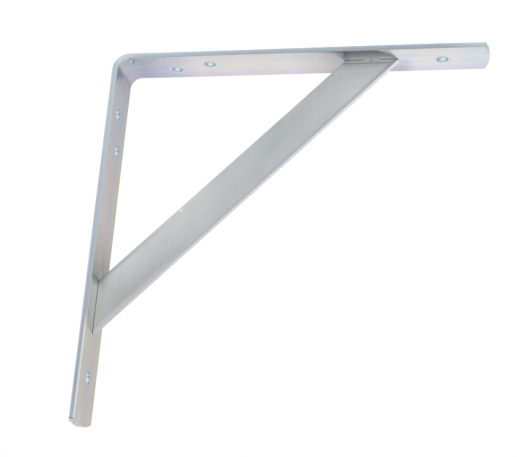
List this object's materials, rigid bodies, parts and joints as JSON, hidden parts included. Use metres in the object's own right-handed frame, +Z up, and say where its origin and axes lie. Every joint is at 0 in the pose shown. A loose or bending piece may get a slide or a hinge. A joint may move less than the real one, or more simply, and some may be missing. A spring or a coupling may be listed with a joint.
{
  "type": "reinforced shelf bracket",
  "caption": "Right-angled shelf bracket of folded flat steel bar, with a diagonal flat-bar brace welded on edge across the corner and screw holes in both arms.",
  "frame": {"origin": "on the wall face, half way between the shelf face and the lower tip, on the centre line of the bar's width", "axes": "+X out of the wall along the shelf arm, +Z up towards the shelf face, Y across the width of the bar"},
  "size_m": [0.25, 0.03, 0.25],
  "materials": {
    "bright_zinc": "bright zinc plate with a faint blue, violet and straw tint",
    "matt_zinc": "dull zinc plate over hot-rolled bar",
    "plated_weld": "rough weld metal under zinc plate"
  },
  "bodies": {
    "root": {"angle_bar": "bright_zinc", "brace": "matt_zinc", "shelf_arm_weld": "plated_weld", "wall_arm_weld": "plated_weld"}
  },
  "joints": []
}
